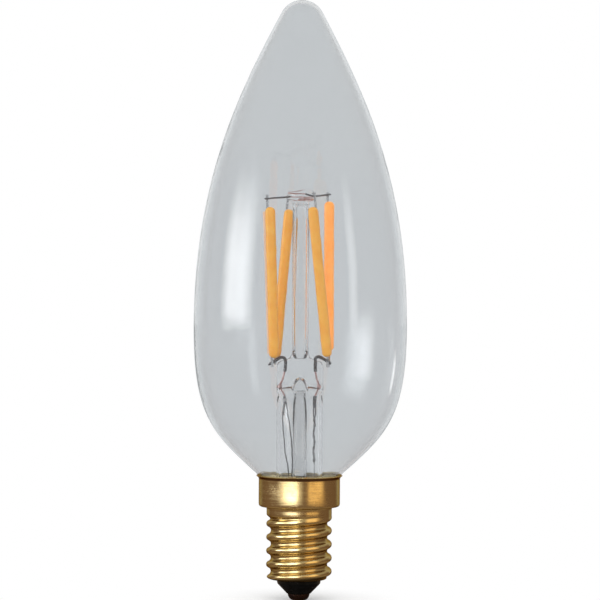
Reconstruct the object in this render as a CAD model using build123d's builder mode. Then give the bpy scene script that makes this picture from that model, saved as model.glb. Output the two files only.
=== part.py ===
from build123d import *
import os
from math import cos, pi, radians, sin, tan

# LED filament candle bulb with a small Edison screw cap, cap downwards.
# Millimetres. The origin is the middle of the contact's flat tip, and +Z runs up the bulb's axis.
# -Y is the front, +X the right-hand side seen from the front.

# Contact and insulator
contact_radius = 2.3
contact_flat_radius = 1.2
contact_height = 1.4
contact_stem_radius = 1.1
contact_stem_height = 1.6
contact_dome_radius = 2.0
contact_dome_height = 0.5
insulator_foot_radius = 2.4
insulator_cone_height = 2.9
insulator_edge_round = 0.25

# Brass screw shell
shell_wall = 0.3
shell_mouth_radius = 4.55
shell_foot_height = 0.6
shell_foot_radius = 6.15
thread_major_radius = 6.85
thread_depth = 0.8
thread_pitch = 2.822
thread_turns = 4.4
thread_run_in = 0.35
thread_run_out = 0.6
thread_start_angle = 214.0
sections_per_turn = 5
neck_radius = 6.65
neck_height = 2.15
collar_radius = 8.5
collar_height = 5.73
collar_corner = 0.55
lip_reach = 0.5
lip_height = 0.8

# Glass envelope
envelope_height = 99.0
envelope_belly_radius = 22.2
envelope_belly_height = 31.0
envelope_tip_radius = 4.83
envelope_tip_angle = 28.2
envelope_cone_angle = 47.5
envelope_wall = 0.7
envelope_flats = (2, 5, 5)
glass_neck_radius = 7.6
glass_mouth_radius = 8.55
seal_clearance = 0.2
neck_seal_height = 0.8

# Glass stem
stem_tube_radius = 4.85
stem_tube_wall = 0.8
flare_curve_height = 5.5
flatten_start_height = 13.6
press_base_height = 4.0
press_height = 6.3
press_thickness = 3.0
press_hollow_gap = 2.0
press_round = 1.1
press_bulge_radius = 2.1
press_hollow_depth = 1.1
exhaust_radius = 1.7
exhaust_bore_radius = 1.15
exhaust_tip_gap = 1.4
exhaust_tip_round = 1.0
port_radius = 1.2
port_rise = 2.0
pillar_radius = 1.75
pillar_wall = 0.55
pillar_socket_depth = 1.5
pillar_height = 33.1
button_radius = 2.75
button_height = 2.4
button_round = 0.5
button_floor = 0.7

# Wires, which are too fine to need a true round section
wire_sides = 12
hook_wire_radius = 0.3
hook_bend = 0.4
hook_spacing = 6.3
hook_leg_depth = 2.3
hook_rise = 0.8
hook_overhang = 1.75
hook_drop = 1.4
seal_wire_radius = 0.2
seal_wire_bow = 0.35
stub_length = 4.9
strand_radius = 0.11
strand_bend = 2.5
strand_spread = 0.15
arm_wire_radius = 0.21
arm_seal_reach = 2.2
side_bar_turn = 25.0
side_bar_left = 8.3
side_bar_right = 6.9
side_bar_slope = 4.2
side_bar_height = 0.95
depth_bar_reach = 6.2
depth_bar_gap = 0.1
depth_bar_droop = 0.65
side_bar_share = 0.88
depth_bar_share = 0.85

# Filaments
filament_end_space = 1.8
filament_width = 2.1
filament_thickness = 1.8
filament_edge_round = 0.7
filament_stand_off = 1.1
strip_width = 1.1
strip_thickness = 0.4
strip_inset = 0.9
lug_width = 0.5
lug_thickness = 0.16
lug_overhang = 0.75
lug_clearance = 0.01

# Driver in the cap
cement_inset = 0.7
board_side_space = 1.1
board_height = 10.2
board_thickness = 0.9
board_offset = 1.0
bridge_rise = 7.34
chip_rise = 2.86
strand_place = 3.13
bridge_size = (4.6, 3.8, 1.6)
chip_size = (4.9, 3.7, 1.5)
chip_leg_pitch = 1.27
chip_leg_size = (0.42, 0.6, 0.25)
part_edge_round = 0.2
capacitor_radius = 2.0
capacitor_length = 4.2
capacitor_place = (-0.6, 11.0)
fuse_radius = 0.95
fuse_length = 5.4
fuse_place = (2.9, -1.3)
fuse_bottom = 8.3
lead_radius = 0.25
lead_bend = 0.6

# Heights up the axis, worked out from the sizes above
insulator_base_z = contact_height
shell_base_z = insulator_base_z + insulator_cone_height
thread_base_z = shell_base_z + shell_foot_height
neck_base_z = thread_base_z + thread_turns * thread_pitch
shoulder_z = neck_base_z + neck_height
lip_base_z = shoulder_z + collar_height
lip_top_z = lip_base_z + lip_height
insulator_top_z = thread_base_z + shell_wall
flare_base_z = shoulder_z + shell_wall + seal_clearance
glass_neck_base_z = flare_base_z + neck_seal_height
flare_top_z = flare_base_z + flare_curve_height
envelope_tip_z = lip_top_z + envelope_height
flatten_start_z = lip_top_z + flatten_start_height
press_base_z = flatten_start_z + press_base_height
press_top_z = press_base_z + press_height
pillar_top_z = press_top_z + pillar_height
button_top_z = pillar_top_z + button_height
stem_bore_radius = stem_tube_radius - stem_tube_wall
press_width = 2 * stem_tube_radius
thread_mean_radius = thread_major_radius - thread_depth / 2
thread_bore_radius = thread_major_radius - thread_depth - shell_wall
hook_leg_x = hook_spacing / 2
hook_reach = stem_tube_radius + hook_overhang - hook_leg_x
hook_leg_z = press_top_z - hook_leg_depth
stub_top_z = press_base_z - press_hollow_depth
stub_base_z = stub_top_z - stub_length
filament_length = pillar_height - filament_end_space
board_width = 2 * (thread_bore_radius - board_side_space)
board_base_z = insulator_top_z
board_top_z = board_base_z + board_height
board_front_y = board_offset - board_thickness / 2
board_back_y = board_offset + board_thickness / 2


def swept_wire(points, radius, bend=0):
    """A fine wire along straight runs; each corner is eased by a short run across it."""
    points = [Vector(*point) for point in points]
    eased = [points[0]]
    for before, corner, after in zip(points, points[1:], points[2:]):
        eased.append(corner + (before - corner).normalized() * bend)
        eased.append(corner + (after - corner).normalized() * bend)
    eased.append(points[-1])
    with BuildPart() as wire:
        with BuildLine() as path:
            Polyline(*eased)
        with BuildSketch(Plane(origin=path.line @ 0, z_dir=path.line % 0)):
            RegularPolygon(radius, wire_sides)
        sweep(path=path.line, transition=Transition.RIGHT)
    return wire.part


def save(part, name):
    """Labels a finished piece and writes it."""
    part.label = name
    export_step(part, f"parts/{name}.step")


# Screw shell: foot, rolled thread and collar. The foot and the collar are inset for their insides
def thread_form():
    """Knuckle thread: a round section whose centre winds round the axis as it rises."""
    steps = round(thread_turns * sections_per_turn)
    with BuildPart() as form:
        for step in range(steps + 1):
            turn = thread_turns * step / steps
            rise_in = min(1, turn / thread_run_in)
            fade_out = min(1, (thread_turns - turn) / thread_run_out)
            depth = min(rise_in, fade_out)
            radius = thread_mean_radius
            radius += (shell_foot_radius - thread_mean_radius) * (1 - rise_in)
            radius += (neck_radius - thread_mean_radius) * (1 - fade_out)
            angle = radians(thread_start_angle) + 2 * pi * turn
            reach = depth * thread_depth / 2
            with BuildSketch(Plane.XY.offset(thread_base_z + turn * thread_pitch)):
                with Locations((reach * cos(angle), reach * sin(angle))):
                    Circle(radius)
        loft(ruled=True)
    return form.part


def foot_form(inset):
    """Sloping foot that closes the shell in towards the insulator."""
    with BuildPart() as form:
        with BuildSketch(Plane.XZ):
            with BuildLine():
                Polyline(
                    (0, shell_base_z + inset),
                    (shell_mouth_radius, shell_base_z + inset),
                    (shell_foot_radius - inset, thread_base_z),
                    (0, thread_base_z),
                    (0, shell_base_z + inset),
                )
            make_face()
        revolve(axis=Axis.Z)
    return form.part


def collar_form(inset):
    """Neck, shoulder, collar and the flared lip at the mouth."""
    with BuildPart() as form:
        with BuildSketch(Plane.XZ) as outline:
            with BuildLine():
                Polyline(
                    (0, neck_base_z),
                    (neck_radius - inset, neck_base_z),
                    (neck_radius - inset, shoulder_z + inset),
                    (collar_radius - inset, shoulder_z + inset),
                    (collar_radius - inset, lip_base_z),
                    (collar_radius - inset + lip_reach, lip_top_z),
                    (0, lip_top_z),
                    (0, neck_base_z),
                )
            make_face()
            shoulder = outline.vertices().group_by(Axis.Y)[1].sort_by(Axis.X)
            chamfer(shoulder[-1], collar_corner - inset)
        revolve(axis=Axis.Z)
    return form.part


with BuildPart() as screw_shell:
    add(foot_form(0))
    add(thread_form())
    add(collar_form(0))
    add(foot_form(shell_wall), mode=Mode.SUBTRACT)
    add(collar_form(shell_wall), mode=Mode.SUBTRACT)
    with Locations((0, 0, thread_base_z)):
        Cylinder(
            thread_bore_radius,
            neck_base_z - thread_base_z,
            align=(Align.CENTER, Align.CENTER, Align.MIN),
            mode=Mode.SUBTRACT,
        )
    with Locations((0, 0, shell_base_z)):
        Cylinder(
            shell_mouth_radius,
            shell_wall,
            align=(Align.CENTER, Align.CENTER, Align.MIN),
            mode=Mode.SUBTRACT,
        )

# Insulator: a cone below the shell, and a plug that fills the shell's foot
with BuildPart() as insulator:
    with BuildSketch(Plane.XZ) as outline:
        with BuildLine():
            Polyline(
                (contact_stem_radius, insulator_base_z),
                (insulator_foot_radius, insulator_base_z),
                (shell_mouth_radius, shell_base_z),
                (shell_mouth_radius, thread_base_z),
                (contact_stem_radius, thread_base_z),
                (contact_stem_radius, insulator_base_z),
            )
        make_face()
        foot_corner = outline.vertices().group_by(Axis.Y)[0].sort_by(Axis.X)[-1]
        chamfer(foot_corner, insulator_edge_round)
    revolve(axis=Axis.Z)
    add(foot_form(shell_wall))
    with BuildSketch(Plane.XY.offset(thread_base_z)):
        Circle(thread_bore_radius)
    extrude(amount=insulator_top_z - thread_base_z)
    with Locations((0, 0, insulator_base_z)):
        Cylinder(
            contact_stem_radius,
            insulator_top_z - insulator_base_z,
            align=(Align.CENTER, Align.CENTER, Align.MIN),
            mode=Mode.SUBTRACT,
        )

# Contact: a domed button with a flat tip, and a peg up the insulator for the live wire
contact_peg_top_z = contact_height + contact_stem_height
with BuildPart() as contact:
    with BuildSketch(Plane.XZ):
        with BuildLine():
            Polyline(
                (0, 0),
                (contact_flat_radius, 0),
                (contact_dome_radius, contact_dome_height),
                (contact_radius, contact_height),
                (contact_stem_radius, contact_height),
                (contact_stem_radius, contact_peg_top_z),
                (0, contact_peg_top_z),
                (0, 0),
            )
        make_face()
    revolve(axis=Axis.Z)


# Glass envelope: rounded tip, candle flank, belly, cone and the neck in the collar
def envelope_form(inset):
    """The candle form, or its inner form when inset by the wall, lofted in short flats."""
    tip_centre_z = envelope_tip_z - envelope_tip_radius
    tip_radius = envelope_tip_radius - inset
    flank = radians(envelope_tip_angle)
    cone = radians(envelope_cone_angle)
    mouth_radius = glass_mouth_radius - inset / cos(cone)
    with BuildLine():
        tip = RadiusArc(
            (0, tip_centre_z + tip_radius),
            (tip_radius * cos(flank), tip_centre_z + tip_radius * sin(flank)),
            tip_radius,
        )
        upper = Spline(
            tip @ 1,
            (envelope_belly_radius - inset, lip_top_z + envelope_belly_height),
            tangents=[(sin(flank), -cos(flank)), (0, -1)],
        )
        lower = Spline(
            upper @ 1,
            (mouth_radius, lip_top_z),
            tangents=[(0, -1), (-sin(cone), -cos(cone))],
        )
    bend_drop = (mouth_radius - glass_neck_radius + inset) / tan(cone)
    outline = []
    for curve, flats in zip((tip, upper, lower), envelope_flats):
        outline += [curve @ ((step + 1) / flats) for step in range(flats)]
    outline.append(Vector(glass_neck_radius - inset, lip_top_z - bend_drop))
    outline.append(Vector(glass_neck_radius - inset, glass_neck_base_z))
    with BuildPart() as form:
        for point in outline:
            with BuildSketch(Plane.XY.offset(point.Y)):
                Circle(point.X)
        loft(ruled=True)
        crown = tip @ 0
        with BuildSketch(Plane.XZ):
            with BuildLine():
                Polyline((0, outline[0].Y), (outline[0].X, outline[0].Y), crown, close=True)
            make_face()
        revolve(axis=Axis.Z)
    return form.part


with BuildPart() as glass_envelope:
    add(envelope_form(0))
    add(envelope_form(envelope_wall), mode=Mode.SUBTRACT)

# Capping cement: the ring that bonds the glass neck to the collar
with BuildPart() as capping_cement:
    with BuildSketch(Plane.XY.offset(glass_neck_base_z)):
        Circle(collar_radius - shell_wall)
        Circle(glass_neck_radius, mode=Mode.SUBTRACT)
    extrude(amount=lip_base_z - cement_inset - glass_neck_base_z)


# Press wires: nickel hooks above, copper-clad seal wires in the glass, stubs below
def side_wires(side):
    """Hook, seal wire and stub on one side; side is -1 on the left and 1 on the right."""
    leg = side * hook_leg_x
    hook_tip = (side * (hook_leg_x + hook_reach), 0, press_top_z + hook_rise - hook_drop)
    hook = swept_wire(
        [(leg, 0, hook_leg_z), (leg, 0, press_top_z + hook_rise), hook_tip],
        hook_wire_radius,
        hook_bend,
    )
    bow = (leg + side * seal_wire_bow, 0, (hook_leg_z + stub_top_z) / 2)
    seal = swept_wire([(leg, 0, stub_top_z), bow, (leg, 0, hook_leg_z)], seal_wire_radius, 1)
    stub = swept_wire([(leg, 0, stub_top_z), (leg, 0, stub_base_z)], hook_wire_radius)
    return hook, seal, stub


left_hook, left_seal, left_stub = side_wires(-1)
right_hook, right_seal, right_stub = side_wires(1)

# Stem: flare, tube and flattened press. The exhaust tube joins where the hollow closes in
exhaust_top_z = (flatten_start_z + stub_top_z) / 2


def pinched_tube(radius, top_z, gap):
    """The end of the tube where jaws have pinched it from a full round to a flat of that gap."""
    with BuildPart() as tube:
        with BuildSketch(Plane.XY.offset(flatten_start_z)):
            Circle(radius)
        extrude(amount=top_z - flatten_start_z)
        with BuildSketch(Plane.YZ):
            with BuildLine():
                Polyline(
                    (-radius, flatten_start_z),
                    (radius, flatten_start_z),
                    (gap / 2, top_z),
                    (-gap / 2, top_z),
                    close=True,
                )
            make_face()
        extrude(amount=radius, both=True, mode=Mode.INTERSECT)
    return tube.part


with BuildPart() as stem_hollow:
    add(pinched_tube(stem_bore_radius, stub_top_z, press_hollow_gap))
    with BuildSketch(Plane.XY.offset(exhaust_top_z)):
        Circle(exhaust_radius)
    extrude(amount=stub_top_z - exhaust_top_z, mode=Mode.SUBTRACT)

with BuildPart() as stem_flare:
    with BuildSketch(Plane.XY.offset(flare_base_z)):
        Circle(glass_neck_radius)
    extrude(amount=neck_seal_height)
    for base_z, radius, mode in (
        (glass_neck_base_z, stem_tube_radius, Mode.ADD),
        (flare_base_z, stem_bore_radius, Mode.SUBTRACT),
    ):
        with BuildSketch(Plane.XY.offset(base_z)):
            Circle(glass_neck_radius - envelope_wall)
        with BuildSketch(Plane.XY.offset(flare_top_z)):
            Circle(radius)
        loft(ruled=True, mode=mode)
        with BuildSketch(Plane.XY.offset(flare_top_z)):
            Circle(radius)
        extrude(amount=flatten_start_z - flare_top_z, mode=mode)
    add(pinched_tube(stem_tube_radius, press_base_z, press_thickness))
    with BuildSketch(Plane.XY.offset(press_base_z)):
        Circle(stem_tube_radius)
        Rectangle(press_width, press_thickness, mode=Mode.INTERSECT)
        Circle(press_bulge_radius)
    extrude(amount=press_height)
    chamfer(stem_flare.edges().group_by(Axis.Z)[-1], press_round)
    add(stem_hollow.part, mode=Mode.SUBTRACT)
    with BuildSketch(Plane.XY.offset(flatten_start_z)):
        Circle(exhaust_bore_radius)
    extrude(amount=stub_top_z + port_rise - flatten_start_z, mode=Mode.SUBTRACT)
    with BuildSketch(Plane.XZ):
        with Locations((0, stub_top_z + port_rise)):
            Circle(port_radius)
    extrude(amount=press_thickness, mode=Mode.SUBTRACT)
    with BuildSketch(Plane.XY.offset(press_top_z - pillar_socket_depth)):
        Circle(pillar_radius)
    extrude(amount=pillar_socket_depth, mode=Mode.SUBTRACT)
    add(left_hook, mode=Mode.SUBTRACT)
    add(left_seal, mode=Mode.SUBTRACT)
    add(right_hook, mode=Mode.SUBTRACT)
    add(right_seal, mode=Mode.SUBTRACT)

# Exhaust tube: drawn down to a sealed tip above the driver
exhaust_tip_z = board_top_z + exhaust_tip_gap
with BuildPart() as exhaust_tube:
    with BuildSketch(Plane.XZ) as outline:
        with BuildLine():
            Polyline(
                (0, exhaust_tip_z),
                (exhaust_radius, exhaust_tip_z),
                (exhaust_radius, exhaust_top_z),
                (exhaust_bore_radius, exhaust_top_z),
                (exhaust_bore_radius, exhaust_tip_z + 2 * exhaust_tip_round),
                (0, exhaust_tip_z + exhaust_tip_round),
                (0, exhaust_tip_z),
            )
        make_face()
        tip_corner = outline.vertices().group_by(Axis.Y)[0].sort_by(Axis.X)[-1]
        chamfer(tip_corner, exhaust_tip_round)
    revolve(axis=Axis.Z)


# Top wires: two bars cross in the glass button, copper-clad there and nickel outside it
def button_bar(left_end, right_end, height, droop):
    """A bar through the button as left arm, seal and right arm; its ends are plan points."""
    seal_share_left = arm_seal_reach / Vector(*left_end, 0).length
    seal_share_right = arm_seal_reach / Vector(*right_end, 0).length
    points = [
        (left_end[0], left_end[1], height - droop[0]),
        (left_end[0] * seal_share_left, left_end[1] * seal_share_left, height),
        (right_end[0] * seal_share_right, right_end[1] * seal_share_right, height),
        (right_end[0], right_end[1], height - droop[1]),
    ]
    arms = []
    for start, stop in ((points[0], points[1]), (points[2], points[3])):
        arms.append(swept_wire([start, stop], arm_wire_radius))
    seal = swept_wire([points[1], points[2]], arm_wire_radius)
    return arms[0], seal, arms[1], points


side_angle = radians(side_bar_turn)
side_rise = sin(radians(side_bar_slope))
side_bar_z = pillar_top_z + side_bar_height
depth_bar_z = side_bar_z + 2 * arm_wire_radius + depth_bar_gap
side_arm_left, side_arm_seal, side_arm_right, side_points = button_bar(
    (-side_bar_left * cos(side_angle), -side_bar_left * sin(side_angle)),
    (side_bar_right * cos(side_angle), side_bar_right * sin(side_angle)),
    side_bar_z,
    ((side_bar_left - arm_seal_reach) * side_rise, -(side_bar_right - arm_seal_reach) * side_rise),
)
depth_arm_front, depth_arm_seal, depth_arm_back, depth_points = button_bar(
    (depth_bar_reach * sin(side_angle), -depth_bar_reach * cos(side_angle)),
    (-depth_bar_reach * sin(side_angle), depth_bar_reach * cos(side_angle)),
    depth_bar_z,
    (depth_bar_droop, depth_bar_droop),
)

# Glass pillar: a tube from its socket in the press to the solid button at its top
with BuildPart() as stem_pillar:
    with BuildSketch(Plane.XZ) as outline:
        with BuildLine():
            pillar_base_z = press_top_z - pillar_socket_depth
            pillar_bore_radius = pillar_radius - pillar_wall
            Polyline(
                (pillar_bore_radius, pillar_base_z),
                (pillar_radius, pillar_base_z),
                (pillar_radius, pillar_top_z),
                (button_radius, pillar_top_z),
                (button_radius, button_top_z),
                (0, button_top_z),
                (0, pillar_top_z + button_floor - pillar_bore_radius / 2),
                (pillar_bore_radius, pillar_top_z - pillar_bore_radius),
                (pillar_bore_radius, pillar_base_z),
            )
        make_face()
        button_corners = outline.vertices().group_by(Axis.X)[-1]
        chamfer(button_corners, button_round)
    revolve(axis=Axis.Z)
    add(side_arm_left, mode=Mode.SUBTRACT)
    add(side_arm_seal, mode=Mode.SUBTRACT)
    add(side_arm_right, mode=Mode.SUBTRACT)
    add(depth_arm_front, mode=Mode.SUBTRACT)
    add(depth_arm_seal, mode=Mode.SUBTRACT)
    add(depth_arm_back, mode=Mode.SUBTRACT)


# Filaments: a ceramic strip with a metal lug at each end, coated with phosphor
def filament(foot, head, hook_z):
    """One filament. foot is its lower end, head the point where its upper lug meets a bar."""
    foot, head = Vector(*foot), Vector(*head)
    along = (head - foot).normalized()
    across = (Vector(1, 0, 0) - along * along.X).normalized()
    coat_top = foot + along * filament_length
    side = 1 if foot.Y > 0 else -1
    with BuildPart() as strip:
        with BuildSketch(Plane(foot + along * strip_inset, x_dir=across, z_dir=along)):
            Rectangle(strip_width, strip_thickness)
        extrude(amount=filament_length - 2 * strip_inset)
    with BuildPart() as upper_lug:
        with BuildSketch(Plane(coat_top - along * strip_inset, x_dir=across, z_dir=along)):
            Rectangle(lug_width, lug_thickness)
        extrude(amount=(head - coat_top).length + strip_inset + lug_overhang)
    weld_y = side * (hook_wire_radius + lug_thickness / 2 + lug_clearance)
    with BuildPart() as lower_lug:
        with BuildLine() as path:
            weld = Vector(foot.X, weld_y, hook_z + hook_wire_radius)
            end = Vector(foot.X, weld_y, hook_z - lug_overhang)
            Polyline(foot + along * strip_inset, foot, weld, end)
        with BuildSketch(Plane(path.line @ 0, x_dir=across, z_dir=-along)):
            Rectangle(lug_width, lug_thickness)
        sweep(path=path.line, transition=Transition.RIGHT)
    with BuildPart() as coat:
        with BuildSketch(Plane(foot, x_dir=across, z_dir=along)):
            RectangleRounded(filament_width, filament_thickness, filament_edge_round)
        extrude(amount=filament_length)
        add(strip.part, mode=Mode.SUBTRACT)
        add(upper_lug.part, mode=Mode.SUBTRACT)
        add(lower_lug.part, mode=Mode.SUBTRACT)
    return {
        "coat": coat.part,
        "strip": strip.part,
        "upper_lug": upper_lug.part,
        "lower_lug": lower_lug.part,
    }


def hook_height(x):
    """Height of the sloping arm of a hook at a distance from the middle."""
    return press_top_z + hook_rise - hook_drop * (abs(x) - hook_leg_x) / hook_reach


def bar_weld(points, outer, share, side):
    """Where an upper lug lies beside a bar, on its left (-1) or its right (1)."""
    inner = Vector(*points[1 if outer == 0 else 2])
    along = Vector(*points[outer]) - inner
    beside = Vector(-along.Y, along.X, 0).normalized()
    if beside.X * side < 0:
        beside = -beside
    stand_off = arm_wire_radius + lug_clearance
    stand_off += abs(beside.X) * lug_width / 2 + abs(beside.Y) * lug_thickness / 2
    return inner + along * share + beside * stand_off


# Driver board stands in the cap, with its parts on both sides
with BuildPart() as driver_board:
    with BuildSketch(Plane.XZ.offset(-board_back_y)):
        with Locations((0, board_base_z + board_height / 2)):
            Rectangle(board_width, board_height)
    extrude(amount=board_thickness)

with BuildPart() as bridge_rectifier:
    with Locations((0, board_back_y, board_base_z + bridge_rise)):
        Box(
            bridge_size[0],
            bridge_size[2],
            bridge_size[1],
            align=(Align.CENTER, Align.MIN, Align.CENTER),
        )
    chamfer(bridge_rectifier.faces().sort_by(Axis.Y)[-1].edges(), part_edge_round)

with BuildPart() as driver_chip:
    chip_z = board_base_z + chip_rise
    with Locations((0, board_back_y, chip_z)):
        Box(
            chip_size[0],
            chip_size[2],
            chip_size[1],
            align=(Align.CENTER, Align.MIN, Align.CENTER),
        )
    chamfer(driver_chip.faces().sort_by(Axis.Y)[-1].edges(), part_edge_round)
    for edge in (-1, 1):
        leg_z = chip_z + edge * (chip_size[1] + chip_leg_size[1]) / 2
        with Locations((0, board_back_y, leg_z)):
            with GridLocations(chip_leg_pitch, 1, 4, 1):
                Box(
                    chip_leg_size[0],
                    chip_leg_size[2],
                    chip_leg_size[1],
                    align=(Align.CENTER, Align.MIN, Align.CENTER),
                )

# Smoothing capacitor: a can that stands off the front of the board
capacitor_x, capacitor_z = capacitor_place
with BuildPart() as smoothing_capacitor:
    with BuildSketch(Plane.XZ.offset(-board_front_y)):
        with Locations((capacitor_x, capacitor_z)):
            Circle(capacitor_radius)
    extrude(amount=capacitor_length)
    chamfer(smoothing_capacitor.edges().group_by(Axis.Y)[0], part_edge_round)

# Fusible resistor in the live lead, with its upper lead bent back to the board
fuse_x, fuse_y = fuse_place
fuse_top_z = fuse_bottom + fuse_length
with BuildPart() as fuse_resistor:
    with BuildSketch(Plane.XY.offset(fuse_bottom)):
        with Locations((fuse_x, fuse_y)):
            Circle(fuse_radius)
    extrude(amount=fuse_length)
    fuse_lead_path = [
        (fuse_x, fuse_y, fuse_top_z - lead_radius),
        (fuse_x, fuse_y, fuse_top_z + lead_bend + part_edge_round),
        (fuse_x, board_front_y, fuse_top_z + lead_bend + part_edge_round),
    ]
    add(swept_wire(fuse_lead_path, lead_radius, lead_bend / 2))

contact_lead_turn_z = (insulator_top_z + fuse_bottom) / 2
contact_lead = swept_wire(
    [
        (0, 0, contact_peg_top_z),
        (0, 0, contact_lead_turn_z),
        (fuse_x, fuse_y, contact_lead_turn_z),
        (fuse_x, fuse_y, fuse_bottom),
    ],
    lead_radius,
    lead_bend,
)

# Neutral lead: off the board's edge, up inside the thread and out to the neck
shell_lead_base_z = board_top_z - lead_bend
shell_lead_top_z = shoulder_z - lead_bend
shell_lead_x = board_width / 2 + 2 * lead_radius
shell_lead_end_x = neck_radius - shell_wall - lead_radius / 2
shell_lead = swept_wire(
    [
        (board_width / 2, board_offset, shell_lead_base_z),
        (shell_lead_x, board_offset, shell_lead_base_z),
        (shell_lead_x, board_offset, shell_lead_top_z),
        (shell_lead_end_x, board_offset, shell_lead_top_z),
    ],
    lead_radius,
    lead_radius,
)


def strand(side, spread, sway):
    """A fine wire from a stub down to the board's top edge."""
    start_x = side * hook_leg_x + spread
    board_x = side * strand_place + 2 * spread
    points = [
        (start_x, 0, stub_base_z),
        (start_x + sway, -sway, (stub_base_z + flare_base_z) / 2),
        (board_x, board_offset, board_top_z + strand_bend),
        (board_x, board_offset, board_top_z),
    ]
    return swept_wire(points, strand_radius, strand_bend / 2)


os.makedirs("parts", exist_ok=True)
save(screw_shell.part, "screw_shell")
save(insulator.part, "insulator")
save(contact.part, "contact")
save(glass_envelope.part, "glass_envelope")
save(capping_cement.part, "capping_cement")
save(stem_flare.part, "stem_flare")
save(exhaust_tube.part, "exhaust_tube")
save(stem_pillar.part, "stem_pillar")
for side_name, pieces in (
    ("left", (left_hook, left_seal, left_stub)),
    ("right", (right_hook, right_seal, right_stub)),
):
    for kind, piece in zip(("hook", "seal_wire", "lead_stub"), pieces):
        save(piece, f"{kind}_{side_name}")
save(side_arm_left, "side_arm_left")
save(side_arm_seal, "side_arm_seal")
save(side_arm_right, "side_arm_right")
save(depth_arm_front, "depth_arm_front")
save(depth_arm_seal, "depth_arm_seal")
save(depth_arm_back, "depth_arm_back")

# Each foot by its side, its distance out from the stem, front or back, and its height over the
# press; each head by the bar that its lug meets
filament_places = {
    "left_outer": (-1, 1.0, -1, 0.75, bar_weld(side_points, 0, side_bar_share, -1)),
    "left_inner": (-1, 0.35, 1, 0.6, bar_weld(depth_points, 3, depth_bar_share, -1)),
    "right_inner": (1, 0.85, -1, 0.4, bar_weld(depth_points, 0, depth_bar_share, 1)),
    "right_outer": (1, 1.15, 1, 0.9, bar_weld(side_points, 3, side_bar_share, -1)),
}
for name, (side, outward, face, rise, head) in filament_places.items():
    foot_x = side * (stem_tube_radius + outward)
    foot = (foot_x, face * filament_stand_off, press_top_z + rise)
    for kind, piece in filament(foot, head, hook_height(foot_x)).items():
        save(piece, f"filament_{name}_{kind}")

save(driver_board.part, "driver_board")
save(bridge_rectifier.part, "bridge_rectifier")
save(driver_chip.part, "driver_chip")
save(smoothing_capacitor.part, "smoothing_capacitor")
save(fuse_resistor.part, "fuse_resistor")
save(contact_lead, "contact_lead")
save(shell_lead, "shell_lead")
save(strand(-1, -strand_spread, -0.3), "strand_left_a")
save(strand(-1, strand_spread, 0.5), "strand_left_b")
save(strand(1, -strand_spread, -0.2), "strand_right_a")
save(strand(1, strand_spread, 0.3), "strand_right_b")
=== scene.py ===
"""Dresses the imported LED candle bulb: its glass, filaments, wires, cap, light and camera."""
import logging
import math
from dataclasses import dataclass, field
from enum import Enum
from typing import Callable, Sequence

import bmesh
import bpy
from bpy.types import Material, Node, NodeSocket, NodeTree, Object
from mathutils import Matrix, Quaternion, Vector
from mathutils.geometry import interpolate_bezier


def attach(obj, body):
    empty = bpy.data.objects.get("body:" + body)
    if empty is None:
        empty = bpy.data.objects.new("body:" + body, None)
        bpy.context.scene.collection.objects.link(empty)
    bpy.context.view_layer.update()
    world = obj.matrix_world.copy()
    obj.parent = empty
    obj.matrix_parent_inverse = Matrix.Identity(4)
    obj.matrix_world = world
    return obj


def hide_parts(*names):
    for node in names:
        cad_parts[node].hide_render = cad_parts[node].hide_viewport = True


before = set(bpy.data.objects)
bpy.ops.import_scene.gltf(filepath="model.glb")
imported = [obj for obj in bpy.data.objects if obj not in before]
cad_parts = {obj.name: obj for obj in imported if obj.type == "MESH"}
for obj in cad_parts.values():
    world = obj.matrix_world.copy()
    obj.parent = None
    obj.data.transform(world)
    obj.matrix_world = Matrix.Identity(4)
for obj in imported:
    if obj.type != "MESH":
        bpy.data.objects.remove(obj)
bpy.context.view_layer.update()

LOG = logging.getLogger("bulb")
BODY = "root"
MM = 0.001

Colour = tuple[float, float, float]
Outline = Sequence[tuple[float, float]]
Point = tuple[float, float, float]
Values = dict[str | int, NodeSocket | float | Sequence[float]]
Palette = dict[str, Material]
Mesh = bmesh.types.BMesh
WHITE = (1, 1, 1)


class Side(Enum):
    """The two sides of the stem, by the sign of x."""

    LEFT = -1
    RIGHT = 1


class Section(Enum):
    """What a wire or strip is cut to across its length."""

    ROUND = "round"
    FLAT = "flat"


def screen_colour(red: int, green: int, blue: int) -> Colour:
    """Turns a colour of a screen, 0 to 255, into the linear values a shader takes.

    Args:
        red: red, 0 to 255.
        green: green, 0 to 255.
        blue: blue, 0 to 255.

    Returns:
        The three linear values, 0 to 1.
    """
    linear = []
    for value in (red, green, blue):
        share = value / 255
        linear.append(share / 12.92 if share <= 0.04045 else ((share + 0.055) / 1.055) ** 2.4)
    return tuple(linear)


# Mesh work, in millimetres until a piece is finished
def spun(outline: Outline, steps: int = 96, ring: bool = False) -> Mesh:
    """Spins an outline of (radius, height) points once round the bulb's axis.

    Args:
        outline: the points, from one end of the outline to the other.
        steps: how many flats go round.
        ring: True if the last point joins the first, as on a washer.

    Returns:
        The spun mesh, with its poles merged and its faces outwards.
    """
    bm = bmesh.new()
    points = [bm.verts.new((radius, 0, height)) for radius, height in outline]
    pairs = list(zip(points, points[1:])) + ([(points[-1], points[0])] if ring else [])
    edges = [bm.edges.new(pair) for pair in pairs]
    bmesh.ops.spin(
        bm, geom=points + edges, cent=(0, 0, 0), axis=(0, 0, 1), angle=math.tau, steps=steps, use_merge=True
    )
    bmesh.ops.remove_doubles(bm, verts=bm.verts, dist=0.0005)
    bmesh.ops.recalc_face_normals(bm, faces=bm.faces)
    return bm


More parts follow.
